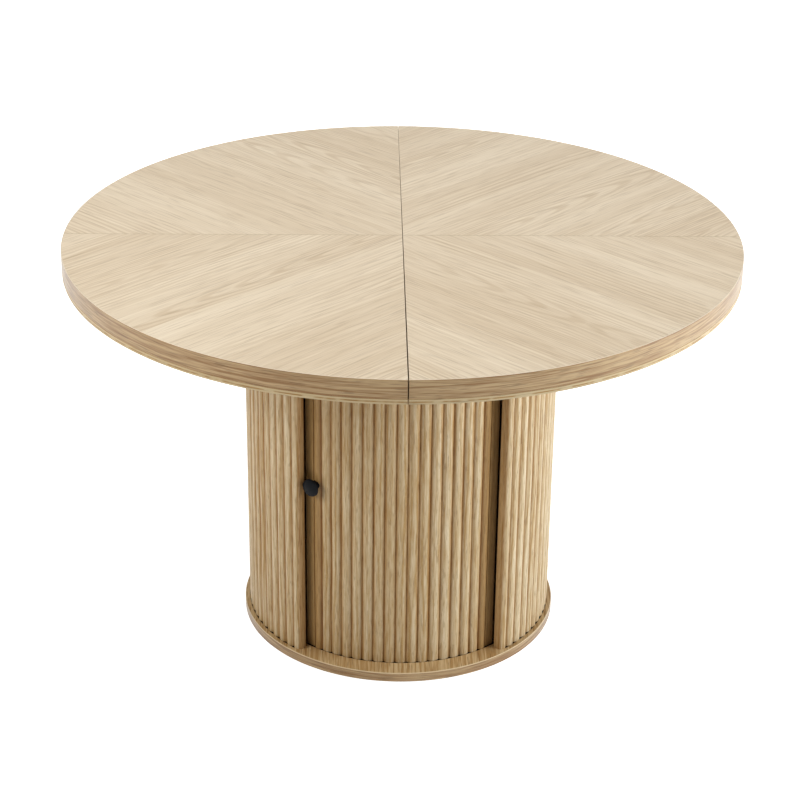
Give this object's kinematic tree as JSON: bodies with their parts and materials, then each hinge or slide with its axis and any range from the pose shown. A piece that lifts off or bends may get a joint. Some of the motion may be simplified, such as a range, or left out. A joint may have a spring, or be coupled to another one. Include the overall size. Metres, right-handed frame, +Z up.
{
  "type": "round dining table with storage cabinet",
  "caption": "Round oak-veneered dining table with a seam across its top, on a fluted drum cabinet whose curved slatted door slides round behind the wall",
  "frame": {"origin": "On the floor, under the middle of the round top and on the axis of the drum.", "axes": "+Z is up, -Y is the front with the door, +X is the right seen from the front."},
  "size_m": [1.2, 1.2, 0.75],
  "materials": {
    "oak_veneer": "matt lacquered oak veneer, fine straight grain",
    "oak_edge": "matt oak edge band, grain along the edge",
    "pale_edge": "matt pale edge band of the lower board",
    "oak_board": "matt oak-faced board",
    "oak_fluted": "matt fluted oak, grain upright",
    "core_board": "plain pressed wood board",
    "beech": "plain grooved beech dowel",
    "backing_cloth": "dark woven cloth",
    "black_metal": "matt black powder coat",
    "zinc_steel": "bright zinc plate",
    "insert_brass": "plain machined brass",
    "nylon": "beige nylon"
  },
  "bodies": {
    "cabinet": {"veneer_front_left": "oak_veneer", "veneer_back_left": "oak_veneer", "veneer_front_right": "oak_veneer", "veneer_back_right": "oak_veneer", "top_edge_band_left": "oak_edge", "top_edge_band_right": "oak_edge", "base_edge_band": "oak_edge", "cap_edge_band": "oak_edge", "lower_edge_band_left": "pale_edge", "lower_edge_band_right": "pale_edge", "base_plate": "oak_board", "cap_plate": "oak_board", "left_upright": "oak_board", "right_upright": "oak_board", "back_board": "oak_board", "shelf": "oak_board", "left_wall": "oak_fluted", "right_wall": "oak_fluted", "top_board_left": "core_board", "top_board_right": "core_board", "lower_board_left": "core_board", "lower_board_right": "core_board", "rear_cleat": "core_board", "seam_dowels": "beech", "board_dowels": "beech", "joining_plates": "zinc_steel", "joining_plate_screws": "zinc_steel", "top_bolts": "zinc_steel", "bolt_washers": "zinc_steel", "cleat_screws": "zinc_steel", "wall_screws": "zinc_steel", "shelf_pins": "zinc_steel", "cam_discs": "zinc_steel", "cam_studs": "zinc_steel", "board_screws": "zinc_steel", "threaded_inserts": "insert_brass", "foot_glides": "nylon"},
    "door": {"door_slat_01": "oak_fluted", "door_slat_02": "oak_fluted", "door_slat_03": "oak_fluted", "door_slat_04": "oak_fluted", "door_slat_05": "oak_fluted", "door_slat_06": "oak_fluted", "door_slat_07": "oak_fluted", "door_slat_08": "oak_fluted", "door_slat_09": "oak_fluted", "door_slat_10": "oak_fluted", "door_slat_11": "oak_fluted", "door_slat_12": "oak_fluted", "door_slat_13": "oak_fluted", "door_slat_14": "oak_fluted", "door_slat_15": "oak_fluted", "door_slat_16": "oak_fluted", "door_slat_17": "oak_fluted", "door_left_stile": "oak_fluted", "door_right_stile": "oak_fluted", "door_backing": "backing_cloth", "door_knob": "black_metal", "knob_screw": "zinc_steel"}
  },
  "joints": [
    {"name": "door_slide", "type": "hinge", "parent": "cabinet", "child": "door", "pos_m": [0, 0, 0], "axis": [0, 0, 1], "range_deg": [0, 72]}
  ]
}
